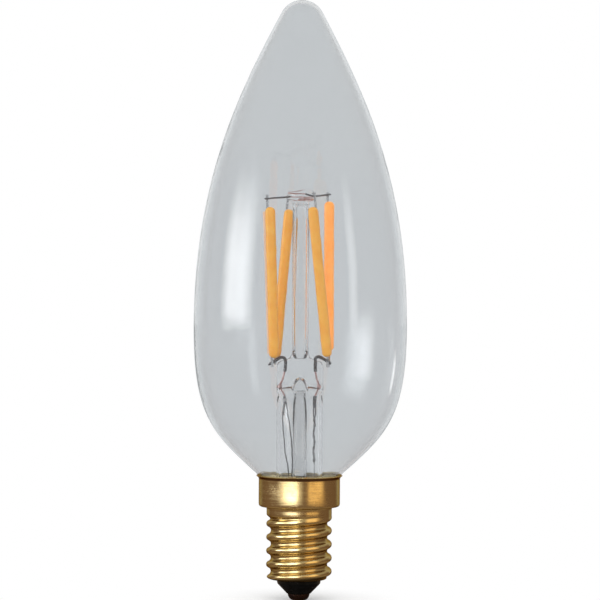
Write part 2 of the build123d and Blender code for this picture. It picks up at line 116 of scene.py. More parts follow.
def next_ring(bm: Mesh, edges: Sequence[bmesh.types.BMEdge]) -> tuple[list, list]:
    """Extrudes a ring of edges.

    Args:
        bm: the mesh.
        edges: the ring's edges.

    Returns:
        The new ring's vertices and its edges.
    """
    made = bmesh.ops.extrude_edge_only(bm, edges=edges)["geom"]
    ring = [item for item in made if isinstance(item, bmesh.types.BMVert)]
    beside = [item for item in made if isinstance(item, bmesh.types.BMEdge)]
    return ring, [edge for edge in beside if all(vert in ring for vert in edge.verts)]


def facing(along: Vector, across: Vector) -> Matrix:
    """The turn that lays z along a direction, and x as near to a second one as it can."""
    side = (across - along * across.dot(along)).normalized()
    return Matrix((side, along.cross(side), along)).transposed()


def straight(start: Vector, end: Vector) -> list[Vector]:
    """Five points, evenly from start to end."""
    return [start.lerp(end, step / 4) for step in range(5)]


def curve_points(start: Vector, leave: Vector, arrive: Vector, end: Vector, count: int) -> list[Vector]:
    """Points on one smooth span, from start to end, by its two handles."""
    return list(interpolate_bezier(start, leave, arrive, end, count))


def smooth_path(points: Sequence[Sequence[float]], per_span: int = 7) -> list[Vector]:
    """Runs a smooth curve through a wire's points.

    Args:
        points: the points that the wire passes.
        per_span: how many steps lie between two of them.

    Returns:
        The curve's points, each once.
    """
    knots = [Vector(point) for point in points]
    if len(knots) < 3:
        return knots
    slopes = [(knots[1] - knots[0]) / 3]
    slopes += [(after - before) / 6 for before, after in zip(knots, knots[2:])]
    slopes.append((knots[-1] - knots[-2]) / 3)
    path = [knots[0]]
    for index in range(len(knots) - 1):
        start, end = knots[index], knots[index + 1]
        leave = start + slopes[index]
        arrive = end - slopes[index + 1]
        path += curve_points(start, leave, arrive, end, per_span + 1)[1:]
    return path


def drawn(
    path: Sequence[Vector],
    width: float,
    thickness: float | None = None,
    section: Section = Section.ROUND,
    across: Vector | None = None,
    swell: Callable[[float], float] | None = None,
    sides: int = 12,
) -> Mesh:
    """Draws a wire or a strip along a path, ring by ring.

    Args:
        path: the points that its middle follows.
        width: its diameter, or a strip's width.
        thickness: a strip's thickness.
        section: round, or flat for a strip.
        across: the direction of a strip's width.
        swell: its size along its length, from 0 at the start to 1, as a share.
        sides: flats round a round section.

    Returns:
        The mesh, closed at both ends.
    """
    bm = bmesh.new()
    if section is Section.ROUND:
        bmesh.ops.create_circle(bm, cap_ends=False, segments=sides, radius=width / 2)
    else:
        bmesh.ops.create_circle(bm, cap_ends=False, segments=4, radius=math.sqrt(0.5))
        turn = Matrix.Rotation(math.radians(45), 3, "Z")
        bmesh.ops.rotate(bm, verts=bm.verts, cent=(0, 0, 0), matrix=turn)
        bmesh.ops.scale(bm, verts=bm.verts, vec=(width, thickness, 1))
    ring_edges = list(bm.edges)
    shape = [vert.co.copy() for vert in bm.verts]
    ring = list(bm.verts)
    tangents = []
    for index in range(len(path)):
        before = path[max(index - 1, 0)]
        after = path[min(index + 1, len(path) - 1)]
        tangents.append((after - before).normalized())
    if across is None:
        frame_turn = tangents[0].to_track_quat("Z", "X")
    else:
        frame_turn = facing(tangents[0], across).to_quaternion()
    bmesh.ops.contextual_create(bm, geom=ring_edges)
    for index, point in enumerate(path):
        if index:
            frame_turn = tangents[index - 1].rotation_difference(tangents[index]) @ frame_turn
            ring, ring_edges = next_ring(bm, ring_edges)
        share = swell(index / (len(path) - 1)) if swell else 1
        for vert, place in zip(ring, shape):
            vert.co = point + frame_turn @ (place * share)
    bmesh.ops.contextual_create(bm, geom=ring_edges)
    bmesh.ops.recalc_face_normals(bm, faces=bm.faces)
    return bm


def bead(centre: Sequence[float], radius: float, stretch: Sequence[float] = (1, 1, 1)) -> Mesh:
    """A small drop of solder or weld metal.

    Args:
        centre: where it lies.
        radius: its radius.
        stretch: how far it is stretched along each axis.

    Returns:
        Its mesh.
    """
    bm = bmesh.new()
    bmesh.ops.create_icosphere(bm, subdivisions=3, radius=radius)
    bmesh.ops.scale(bm, verts=bm.verts, vec=stretch)
    bmesh.ops.translate(bm, verts=bm.verts, vec=centre)
    return bm


def joined(parts: Sequence[Mesh]) -> Mesh:
    """Puts several meshes into the first one and frees the others.

    Args:
        parts: the meshes.

    Returns:
        The first mesh.
    """
    whole = parts[0]
    for part in parts[1:]:
        holder = bpy.data.meshes.new("holder")
        part.to_mesh(holder)
        part.free()
        whole.from_mesh(holder)
        bpy.data.meshes.remove(holder)
    return whole


def finish_piece(
    bm: Mesh, name: str, material: Material, nodes: Sequence[str], sharp: float = 40
) -> Object:
    """Makes a mesh an object of the bulb, in metres, in place of its CAD nodes.

    Args:
        bm: the mesh, in millimetres; it is freed.
        name: the piece's name.
        material: its finish.
        nodes: the CAD nodes it stands for.
        sharp: the angle in degrees from which an edge stays sharp.

    Returns:
        The finished object.
    """
    bmesh.ops.scale(bm, verts=bm.verts, vec=(MM, MM, MM))
    mesh = bpy.data.meshes.new(name)
    bm.to_mesh(mesh)
    bm.free()
    mesh.shade_smooth()
    mesh.set_sharp_from_angle(angle=math.radians(sharp))
    mesh.materials.append(material)
    piece = bpy.data.objects.new(name, mesh)
    bpy.context.scene.collection.objects.link(piece)
    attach(piece, BODY)
    if nodes:
        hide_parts(*nodes)
    LOG.info("%s: %d faces, for %s", name, len(mesh.polygons), ", ".join(nodes) or "no node")
    return piece


def dress_node(name: str, material: Material) -> None:
    """Gives a CAD node that stays its finish.

    Args:
        name: the node.
        material: its finish.
    """
    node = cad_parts[name]
    node.data.materials.clear()
    node.data.materials.append(material)
    LOG.info("%s: kept from the CAD, dressed with %s", name, material.name)


# Shader work
class NodeBoard:
    """A node tree with short calls that add nodes and feed their inputs."""

    def __init__(self, tree: NodeTree) -> None:
        """Takes the tree and clears it."""
        self.tree = tree
        self.tree.nodes.clear()

    def feed(self, node: Node, values: Values) -> None:
        """Joins outputs to a node's inputs, or sets the inputs.

        Args:
            node: the node.
            values: an output, a number, a vector or a colour for each input, by its name or place.
        """
        for key, value in values.items():
            socket = node.inputs[key]
            if isinstance(value, NodeSocket):
                self.tree.links.new(value, socket)
            else:
                socket.default_value = (*value, 1) if socket.type == "RGBA" else value

    def add(self, kind: str, values: Values | None = None, **settings: object) -> Node:
        """Adds a node.

        Args:
            kind: the node's type.
            values: what its inputs take.
            settings: its properties by name.

        Returns:
            The node.
        """
        node = self.tree.nodes.new(kind)
        for name, setting in settings.items():
            setattr(node, name, setting)
        self.feed(node, values or {})
        return node

    def maths(self, operation: str, first: NodeSocket, second: NodeSocket | float) -> NodeSocket:
        """The result of a Math node on a socket, and on a socket or a number."""
        return self.add("ShaderNodeMath", {0: first, 1: second}, operation=operation).outputs[0]

    def spread(
        self, value: NodeSocket, low: float, high: float, start: float = 0.0, end: float = 1.0
    ) -> NodeSocket:
        """Maps a value from low and high smoothly to start and end, and holds it there."""
        values = {"Value": value, "From Min": low, "From Max": high, "To Min": start, "To Max": end}
        return self.add("ShaderNodeMapRange", values, interpolation_type="SMOOTHSTEP").outputs["Result"]

    def blend(self, mask: NodeSocket, first: Colour | NodeSocket, second: Colour | NodeSocket) -> NodeSocket:
        """The first colour where a mask is 0, the second where it is 1."""
        return self.add("ShaderNodeMix", {0: mask, 6: first, 7: second}, data_type="RGBA").outputs[2]


class EffectGroup:
    """A shader effect that several finishes share, built once as a node group."""

    name = "effect"
    inputs: dict[str, float | None] = {}
    outputs: tuple[str, ...] = ()

    def __init__(self) -> None:
        """Builds the group with its sockets."""
        self.group = bpy.data.node_groups.new(self.name, "ShaderNodeTree")
        self.board = NodeBoard(self.group)
        for label, value in self.inputs.items():
            socket = self.socket(label, "INPUT")
            if value is not None:
                socket.default_value = value
        for label in self.outputs:
            self.socket(label, "OUTPUT")
        self.given = self.board.add("NodeGroupInput").outputs
        self.result = self.board.add("NodeGroupOutput")
        self.wire()

    def socket(self, label: str, way: str) -> bpy.types.NodeTreeInterfaceSocket:
        """Gives the group a socket: a vector for a place or a normal, and a number for the rest."""
        kind = "NodeSocketVector" if label in ("Place", "Normal") else "NodeSocketFloat"
        return self.group.interface.new_socket(label, in_out=way, socket_type=kind)

    def wire(self) -> None:
        """Joins the group's nodes; each effect has its own."""

    def noise(self, point: NodeSocket, scale: NodeSocket, detail: float, rough: float = 0.5) -> NodeSocket:
        """The value of a noise at a point."""
        values = {"Vector": point, "Scale": scale, "Detail": detail, "Roughness": rough}
        return self.board.add("ShaderNodeTexNoise", values).outputs[0]

    def raised(self, mask: NodeSocket) -> NodeSocket:
        """The normal of a surface that a mask raises by the group's height."""
        return self.board.add("ShaderNodeBump", {"Height": mask, "Distance": self.given["Height"]}).outputs[0]

    def place(self, board: NodeBoard, place: NodeSocket, **values: float) -> dict[str, NodeSocket]:
        """Puts the effect in a material.

        Args:
            board: the material's nodes.
            place: the point on the surface.
            values: the group's inputs by name.

        Returns:
            The group's outputs by name.
        """
        node = board.add("ShaderNodeGroup", {"Place": place, **values}, node_tree=self.group)
        return {socket.name: socket for socket in node.outputs}


class FineGrain(EffectGroup):
    """Small uneven grain: a mask, and a normal that is raised by it."""

    name = "fine_grain"
    inputs = {"Place": None, "Scale": 3000.0, "Height": 0.00001}
    outputs = ("Mask", "Normal")

    def wire(self) -> None:
        """Noise as a mask, and the bump it makes."""
        mask = self.board.spread(self.noise(self.given["Place"], self.given["Scale"], 4, 0.6), 0.3, 0.7)
        self.board.feed(self.result, {"Mask": mask, "Normal": self.raised(mask)})


class TurningMarks(EffectGroup):
    """Fine rings left round the axis by spinning and rolling, and the broad stains over them."""

    name = "turning_marks"
    inputs = {"Place": None, "Rings": 9000.0, "Stain Scale": 260.0, "Height": 0.000004}
    outputs = ("Rings", "Stain", "Normal")

    def wire(self) -> None:
        """Noise that is squeezed along the axis, and a wide noise beside it."""
        place = self.given["Place"]
        squeeze = self.board.add("ShaderNodeVectorMath", {0: place, 1: (0.02, 0.02, 1)}, operation="MULTIPLY")
        rings = self.board.spread(self.noise(squeeze.outputs[0], self.given["Rings"], 3), 0.35, 0.65)
        stain = self.board.spread(self.noise(place, self.given["Stain Scale"], 5, 0.62), 0.38, 0.68)
        self.board.feed(self.result, {"Rings": rings, "Stain": stain, "Normal": self.raised(rings)})


class AxisReach(EffectGroup):
    """How far a point lies from the bulb's axis, as a mask for the painted shade in the thread roots."""

    name = "axis_reach"
    inputs = {"Place": None, "Near": 0.0061, "Far": 0.0069}
    outputs = ("Reach",)

    def wire(self) -> None:
        """The length of x and y, mapped between the near and the far radius."""
        values = {0: self.given["Place"], 1: (1, 1, 0)}
        flat = self.board.add("ShaderNodeVectorMath", values, operation="MULTIPLY").outputs[0]
        length = self.board.add("ShaderNodeVectorMath", {0: flat}, operation="LENGTH").outputs["Value"]
        values = {"Value": length, "From Min": self.given["Near"], "From Max": self.given["Far"]}
        reach = self.board.add("ShaderNodeMapRange", values)
        self.board.feed(self.result, {"Reach": reach.outputs["Result"]})


@dataclass
class Effects:
    """The shared effects, built once."""

    grain: FineGrain = field(default_factory=FineGrain)
    marks: TurningMarks = field(default_factory=TurningMarks)
    reach: AxisReach = field(default_factory=AxisReach)


@dataclass(frozen=True)
class Finish:
    """What every finish shares: a new material with its Principled shader and its surface point."""

    name: str

    def begin(self) -> tuple[Material, NodeBoard, Node, NodeSocket]:
        """Starts the material.

        Returns:
            The material, its nodes, its Principled shader and the Object coordinates.
        """
        material = bpy.data.materials.new(self.name)
        material.use_nodes = True
        board = NodeBoard(material.node_tree)
        shader = board.add("ShaderNodeBsdfPrincipled")
        board.add("ShaderNodeOutputMaterial", {"Surface": shader.outputs[0]})
        return material, board, shader, board.add("ShaderNodeTexCoord").outputs["Object"]


@dataclass(frozen=True)
class ClearGlass(Finish):
    """Blown glass: clear, with a slight tint for each wall and a faint ripple."""

    tint: Colour
    ripple: float
    shade: Colour = (0.98, 0.985, 0.985)
    index: float = 1.5
    ripple_scale: float = 60.0

    def build(self, effects: Effects) -> Material:
        """Builds the material.

        Args:
            effects: the shared effects.

        Returns:
            The material.
        """
        material, board, shader, place = self.begin()
        grain = effects.grain.place(board, place, Scale=self.ripple_scale, Height=self.ripple)
        values = {
            "Base Color": self.tint,
            "Roughness": 0.0,
            "IOR": self.index,
            "Transmission Weight": 1.0,
            "Normal": grain["Normal"],
        }
        board.feed(shader, values)
        shadow = board.add("ShaderNodeLightPath").outputs["Is Shadow Ray"]
        clear = board.add("ShaderNodeBsdfTransparent", {0: self.shade})
        mix = board.add("ShaderNodeMixShader", {0: shadow, 1: shader.outputs[0], 2: clear.outputs[0]})
        output = next(node for node in board.tree.nodes if node.type == "OUTPUT_MATERIAL")
        board.feed(output, {"Surface": mix.outputs[0]})
        return material


@dataclass(frozen=True)
class RolledBrass(Finish):
    """Thin rolled brass: turning marks, brown stains, painted shade in the thread roots and painted shade
    under the lip.
    """

    bright: Colour = (0.80, 0.655, 0.345)
    tarnish: Colour = (0.62, 0.45, 0.21)
    # The root colour is painted shade: the thread's roots darker, where the crests shade them.
    root: Colour = (0.50, 0.375, 0.175)
    edge: Colour = (0.42, 0.27, 0.15)
    # The dark brown below and its band of heights are painted shade on and just under the flared lip, where it
    # faces down.
    painted_lip_shade: Colour = (0.20, 0.11, 0.06)
    lip_shade_foot: tuple[float, float] = (0.02515, 0.02545)
    lip_shade_top: tuple[float, float] = (0.02575, 0.02592)
    root_radius: float = 0.00605
    crest_radius: float = 0.0068

    def build(self, effects: Effects) -> Material:
        """Builds the material.

        Args:
            effects: the shared effects.

        Returns:
            The material.
        """
        material, board, shader, place = self.begin()
        marks = effects.marks.place(board, place, Rings=7000, Height=0.000003, **{"Stain Scale": 240})
        reach = effects.reach.place(board, place, Near=self.root_radius, Far=self.crest_radius)["Reach"]
        stained = board.blend(board.spread(marks["Stain"], 0, 1, 0, 0.45), self.bright, self.tarnish)
        # Painted shade: darker towards the thread roots.
        root_shaded = board.blend(board.spread(reach, 0, 1, 0.55, 0), stained, self.root)
        height = board.add("ShaderNodeSeparateXYZ", {0: place}).outputs["Z"]
        # A band of heights on and just under the lip that takes the painted shade.
        above_foot = board.spread(height, *self.lip_shade_foot)
        lip_shade_band = board.maths("MULTIPLY", above_foot, board.spread(height, *self.lip_shade_top, 1, 0))
        ring_rough = board.spread(marks["Rings"], 0, 1, 0.14, 0.22)
        stain_rough = board.spread(marks["Stain"], 0, 1, 0, 0.10)
        values = {
            "Metallic": 1.0,
            "Base Color": board.blend(lip_shade_band, root_shaded, self.painted_lip_shade),
            "Specular Tint": self.edge,
            "Roughness": board.maths("ADD", ring_rough, stain_rough),
            "Normal": marks["Normal"],
        }
        board.feed(shader, values)
        return material


@dataclass(frozen=True)
class Grained(Finish):
    """A light and a dark colour, mixed by fine grain that also roughens the surface."""

    light: Colour
    dark: Colour
    smooth: float
    rough: float
    scale: float
    height: float = 0.00001
    index: float = 1.5
    metal: float = 0.0

    def build(self, effects: Effects) -> Material:
        """Builds the material.

        Args:
            effects: the shared effects.

        Returns:
            The material.
        """
        material, board, shader, place = self.begin()
        grain = effects.grain.place(board, place, Scale=self.scale, Height=self.height)
        values = {
            "Metallic": self.metal,
            "IOR": self.index,
            "Base Color": board.blend(grain["Mask"], self.light, self.dark),
            "Roughness": board.spread(grain["Mask"], 0, 1, self.smooth, self.rough),
            "Normal": grain["Normal"],
        }
        board.feed(shader, values)
        return material


@dataclass(frozen=True)
class FineMetal(Grained):
    """Wire, lug, contact and solder metal."""

    scale: float = 2500.0
    metal: float = 1.0


@dataclass(frozen=True)
class MouldedBody(Grained):
    """Glass, plastic, lacquer, ceramic or cement."""

    scale: float = 1500.0


@dataclass(frozen=True)
class PhosphorCoat(Finish):
    """Silicone loaded with phosphor: soft and slightly grainy, with a weak painted glow, tuned to the photo,
    that brightens the coat as more light would.
    """

    # glow is painted light: an emission that brightens the unlit coats.
    glow: float
    body: Colour = screen_colour(252, 184, 76)
    deep: Colour = screen_colour(246, 166, 58)
    gloss: float = 0.4

    def build(self, effects: Effects) -> Material:
        """Builds the material.

        Args:
            effects: the shared effects.

        Returns:
            The material.
        """
        material, board, shader, place = self.begin()
        fine = effects.grain.place(board, place, Scale=5200, Height=0.000012)
        broad = effects.grain.place(board, place, Scale=420, Height=0.0)
        broad_share = board.spread(broad["Mask"], 0, 1, 0, 0.6)
        mask = board.maths("ADD", broad_share, board.spread(fine["Mask"], 0, 1, 0, 0.3))
        colour = board.blend(mask, self.body, self.deep)
        values = {
            "Base Color": colour,
            # The emission below is painted light, not the bulb being on.
            "Emission Color": colour,
            "Emission Strength": self.glow,
            "Roughness": board.spread(fine["Mask"], 0, 1, 0.42, 0.6),
            "Normal": fine["Normal"],
            "Subsurface Weight": 0.25,
            "Subsurface Radius": (1.0, 0.45, 0.12),
            "Subsurface Scale": 0.0006,
            "Coat Weight": self.gloss,
            "Coat Roughness": 0.25,
        }
        board.feed(shader, values)
        return material


def mixed_palette() -> Palette:
    """Builds every finish of the bulb once.

    Returns:
        The materials, by the part that they dress.
    """
    effects = Effects()
    colour = screen_colour
    cement = colour(214, 206, 178), colour(190, 180, 148)
    # The second coat colours and their stronger glow are painted warm light: a lit copy of the amber phosphor,
    # standing in for warm light from the right on that filament.
    painted_warm_light = colour(255, 172, 90), colour(255, 156, 66)
    finishes = {
        "envelope": ClearGlass("clear_glass", (0.737, 0.757, 0.772), 0.00002),
        "stem": ClearGlass("stem_glass", (0.985, 0.985, 0.985), 0.00001),
        "brass": RolledBrass("rolled_brass"),
        "black_glass": MouldedBody("black_glass", (0.004,) * 3, (0.002,) * 3, 0.08, 0.16, 700, index=1.25),
        # The contact's dark reddish brown is partly its plating and partly painted shade on its down-facing
        # tip.
        "contact": FineMetal(
            "contact_metal", (0.24, 0.14, 0.11), (0.08, 0.045, 0.04), 0.2, 0.4, 900, 0.00003
        ),
        "cement": MouldedBody("capping_cement", *cement, 0.75, 0.95, 1400, 0.00004),
        "amber": PhosphorCoat("phosphor_amber", 0.2),
        "painted_warm_light": PhosphorCoat("phosphor_orange", 0.5, *painted_warm_light),
        "ceramic": MouldedBody("strip_ceramic", colour(255, 222, 196), colour(250, 206, 172), 0.25, 0.45),
        "lug": FineMetal("lug_metal", (0.72, 0.72, 0.73), (0.42, 0.42, 0.43), 0.16, 0.34, metal=0.85),
        "nickel": FineMetal("nickel_wire", (0.26, 0.25, 0.25), (0.12, 0.11, 0.12), 0.22, 0.45),
        "copper": FineMetal("copper_seal", (0.82, 0.56, 0.53), (0.52, 0.30, 0.28), 0.3, 0.5),
        "strand": FineMetal("tinned_strand", (0.22, 0.22, 0.23), (0.09, 0.09, 0.10), 0.25, 0.5),
        # The solder finish, near white and hardly metallic, is a painted glint: it makes the weld bead read as
        # the white highlight on the left lead.
        "solder": FineMetal("solder", (0.96, 0.96, 0.97), (0.85, 0.85, 0.87), 0.1, 0.25, metal=0.2),
        "tinned": FineMetal("tinned_copper", (0.75, 0.72, 0.68), (0.6, 0.5, 0.42), 0.2, 0.4),
        "board": MouldedBody("circuit_board", colour(196, 190, 150), colour(160, 152, 112), 0.4, 0.6),
        "plastic": MouldedBody("black_plastic", (0.03,) * 3, (0.015, 0.015, 0.016), 0.3, 0.5),
        "can": MouldedBody("capacitor_sleeve", colour(40, 44, 58), colour(28, 30, 42), 0.3, 0.45),
        "lacquer": MouldedBody("resistor_lacquer", colour(96, 138, 120), colour(72, 112, 96), 0.3, 0.5),
    }
    return {piece: finish.build(effects) for piece, finish in finishes.items()}


# The bulb's sub-assemblies, with their sizes in millimetres
@dataclass
class Envelope:
    """The candle-shaped glass: rounded tip, long flank, belly, and the neck inside the collar."""

    tip_height: float = 124.99
    tip_radius: float = 4.83
    tip_angle: float = 28.2
    belly_radius: float = 22.19
    belly_height: float = 57.0
    mouth_radius: float = 8.55
    mouth_height: float = 26.0
    mouth_angle: float = 47.5
    neck_radius: float = 7.6
    neck_foot: float = 20.8
    wall: float = 0.6
    steps: int = 128
    flank_pull: float = 19.9
    shoulder_pull: float = 29.4
    belly_pull: float = 19.5
    mouth_pull: float = 12.4
    neck_drop: float = 2.2

    def outline(self) -> list[tuple[float, float]]:
        """The outside from the pole of the tip down to the foot of the neck.

        Returns:
            The points as (radius, height).
        """
        angle = math.radians(self.tip_angle)
        centre = self.tip_height - self.tip_radius
        points = []
        for step in range(15):
            turn = math.pi / 2 + (angle - math.pi / 2) * step / 14
            reach = 0.0 if step == 0 else self.tip_radius * math.cos(turn)
            points.append((reach, centre + self.tip_radius * math.sin(turn)))
        start = Vector((*points[-1], 0))
        belly = Vector((self.belly_radius, self.belly_height, 0))
        leave = start + Vector((math.sin(angle), -math.cos(angle), 0)) * self.flank_pull
        cone = math.radians(self.mouth_angle)
        mouth = Vector((self.mouth_radius, self.mouth_height, 0))
        arrive = mouth + Vector((math.sin(cone), math.cos(cone), 0)) * self.mouth_pull
        neck = Vector((self.neck_radius, self.mouth_height - self.neck_drop, 0))
        turn_in = mouth - Vector((math.sin(cone), math.cos(cone), 0)) * 0.9
        for span in (
            (start, leave, belly + Vector((0, self.shoulder_pull, 0)), belly, 46),
            (belly, belly - Vector((0, self.belly_pull, 0)), arrive, mouth, 40),
            (mouth, turn_in, neck + Vector((0, 0.8, 0)), neck, 8),
        ):
            points += [(point.x, point.y) for point in curve_points(*span)[1:]]
        points.append((self.neck_radius, self.neck_foot))
        return points

    def build(self, palette: Palette) -> None:
        """Spins the outside and gives the glass its wall.

        Args:
            palette: the finishes.
        """
        bm = spun(self.outline(), self.steps)
        bmesh.ops.solidify(bm, geom=list(bm.faces), thickness=self.wall)
        finish_piece(bm, "envelope_glass", palette["envelope"], ["glass_envelope"], 60)


@dataclass(frozen=True)
class PinchedRing:
    """One ring of the stem: a circle that is pinched towards a flat press."""

    height: float
    half_width: float
    half_depth: float
    squareness: float = 2.0
    bulge: float = 0.0
    saddle: float = 0.0
    dome: float = 0.0

    def point(self, turn: float) -> Vector:
        """Where a vertex of the ring goes.

        Args:
            turn: its angle round the ring.

        Returns:
            Its place.
        """
        power = 2 / self.squareness
        across, deep = math.cos(turn), math.sin(turn)
        x = self.half_width * math.copysign(abs(across) ** power, across)
        y = self.half_depth * math.copysign(abs(deep) ** power, deep)
        y *= 1 + self.bulge * math.exp(-((x / 1.6) ** 2))
        z = self.height + self.saddle * (1 - abs(x) / self.half_width)
        z += self.dome * math.sqrt(max(0.0, 1 - (x / 1.5) ** 2))
        return Vector((x, y, z))


@dataclass
class GlassStem:
    """The flare, tube, press, pillar and button, as one fused piece of glass, and the exhaust tube."""

    sides: int = 144
    pillar_bore: float = 1.15
    exhaust_radius: float = 1.45
    exhaust_bore: float = 1.12

    def rings(self) -> list[PinchedRing]:
        """The rings from the top of the hollow down its wall, round the foot and up the outside.

        Returns:
            The rings; a row of two numbers, a height and a radius, makes a round one.
        """
        hollow = (
            (44.2, 3.6, 0.0, 3, 1.0, 0.6, 1.75), (44.16, 3.7, 0.22, 3, 1.0, 0.6, 1.75),
            (44.0, 3.85, 0.5, 3, 1.0, 0.55, 1.6), (43.7, 3.95, 0.85, 3, 0.8, 0.4, 1.2),
            (43.2, 4.0, 1.25, 3, 0.6, 0.2, 0.7), (42.5, 4.05, 1.75, 2.8, 0.3, 0.1, 0.2),
            (41.8, 4.05, 2.5, 2.4, 0.1), (40.8, 4.05, 3.5, 2.1), (39.6, 4.05), (33.0, 4.05),
            (26.0, 4.05), (25.0, 4.15), (23.6, 4.6), (22.2, 5.4), (20.6, 6.5), (20.0, 6.9),
        )
        outside = (
            (20.08, 7.4), (20.7, 7.2), (21.4, 6.6), (22.8, 5.8), (24.3, 5.15), (25.8, 4.9),
            (27.0, 4.85), (33.0, 4.85), (39.4, 4.85), (40.4, 4.85, 4.5, 2.0), (41.4, 4.86, 3.7, 2.2),
            (42.4, 4.88, 2.8, 2.6), (43.3, 4.88, 2.1, 3.0, 0.1), (44.2, 4.88, 1.65, 3.4, 0.3),
            (45.4, 4.88, 1.5, 3.6, 0.4), (48.0, 4.86, 1.5, 3.6, 0.3), (49.0, 4.78, 1.47, 3.4, 0.25),
            (49.5, 4.55, 1.42, 3.0, 0.2), (49.8, 4.1, 1.4, 2.6, 0.15), (50.0, 3.3, 1.45, 2.3, 0.1),
            (50.25, 2.6, 1.6, 2.1), (50.6, 2.1, 1.7), (51.2, 1.8, 1.75), (52.5, 1.75), (82.2, 1.75),
            (82.75, 1.9), (83.05, 2.35), (83.3, 2.65), (83.65, 2.75), (84.8, 2.75), (85.15, 2.6),
            (85.33, 2.3), (85.39, 1.7), (85.39, 0.9),
        )
        return [PinchedRing(*row) if len(row) > 2 else PinchedRing(*row, row[1]) for row in hollow + outside]

    def fused_glass(self) -> Mesh:
        """Extrudes the rings one from another and closes both ends.

        Returns:
            The stem's mesh, with the bore of the pillar inside it.
        """
        bm = bmesh.new()
        bmesh.ops.create_circle(bm, cap_ends=False, segments=self.sides, radius=1)
        ring = list(bm.verts)
        edges = list(bm.edges)
        turns = [math.atan2(vert.co.y, vert.co.x) for vert in ring]
        for index, shape in enumerate(self.rings()):
            if index:
                ring, edges = next_ring(bm, edges)
            for vert, turn in zip(ring, turns):
                vert.co = shape.point(turn)
        bmesh.ops.contextual_create(bm, geom=edges)
        bmesh.ops.remove_doubles(bm, verts=bm.verts, dist=0.0008)
        bmesh.ops.recalc_face_normals(bm, faces=bm.faces)
        return joined([bm, self.pillar_hollow()])

    def pillar_hollow(self) -> Mesh:
        """The closed bore up the pillar, with its faces turned into the hollow.

        Returns:
            The mesh.
        """
        bore = self.pillar_bore
        outline = [
            (0.0, 50.3), (bore * 0.94, 50.32), (bore, 50.45), (bore, 82.2), (bore * 0.75, 82.9),
            (0.0, 83.15),
        ]
        bm = spun(outline, 48)
        bmesh.ops.reverse_faces(bm, faces=bm.faces)
        return bm

    def exhaust(self) -> Mesh:
        """The exhaust tube, sealed at its foot and open at the press, with a fire-polished rim.

        Returns:
            The mesh.
        """
        outer, bore = self.exhaust_radius, self.exhaust_bore
        outline = [
            (0.0, 16.85), (0.6, 16.95), (1.15, 17.4), (outer, 18.2), (outer, 43.0),
            (outer + 0.1, 43.2), (outer + 0.12, 43.42), (outer, 43.64), (outer - 0.16, 43.7),
            (bore + 0.02, 43.62), (bore - 0.1, 43.42), (bore - 0.08, 43.2), (bore, 43.0), (bore, 18.9),
            (0.7, 18.15), (0.0, 17.9),
        ]
        return spun(outline, 48)

    def build(self, palette: Palette) -> None:
        """Makes the stem and the exhaust tube.

        Args:
            palette: the finishes.
        """
        nodes = ["stem_flare", "stem_pillar"]
        finish_piece(self.fused_glass(), "fused_stem", palette["stem"], nodes, 50)
        finish_piece(self.exhaust(), "exhaust_pipe", palette["stem"], ["exhaust_tube"], 60)


HOOKS = {
    Side.LEFT: (
        (-3.1, 0, 47.6), (-2.95, 0, 48.9), (-3.0, 0, 49.9), (-3.45, 0, 50.5), (-4.2, 0, 50.45),
        (-5.3, 0, 49.8), (-6.6, 0, 48.95),
    ),
    Side.RIGHT: (
        (3.12, 0, 47.6), (3.1, 0, 49.5), (3.22, 0, 50.35), (3.7, 0, 50.72), (4.3, 0, 50.55),
        (5.3, 0, 50.0), (6.5, 0, 49.25),
    ),
}
STUBS = {
    Side.LEFT: (0.42, ((-3.2, 0, 42.5), (-3.22, 0, 41.6), (-3.3, 0, 40.4), (-3.42, 0, 38.4))),
    Side.RIGHT: (0.36, ((3.2, 0, 42.5), (3.18, 0, 41.4), (3.15, 0, 39.9))),
}
STRANDS = {
    "strand_left_a": (
        (-3.3, 0, 42.4), (-3.4, -0.1, 41.6), (-3.45, -0.1, 40.6), (-3.57, -0.2, 37.5),
        (-3.3, -0.2, 34.2), (-3.0, -0.1, 31.0), (-2.3, 0.1, 26.9), (-2.6, 0.6, 21.0), (-3.1, 1.0, 15.42),
    ),
    "strand_left_b": (
        (-3.1, 0, 41.6), (-2.83, 0.1, 40.4), (-2.39, 0.2, 38.1), (-1.95, -1.2, 35.6),
        (-1.5, -1.7, 31.25), (-1.55, -1.6, 26.0), (-2.4, 0.2, 20.5), (-2.8, 1.0, 15.42),
    ),
}


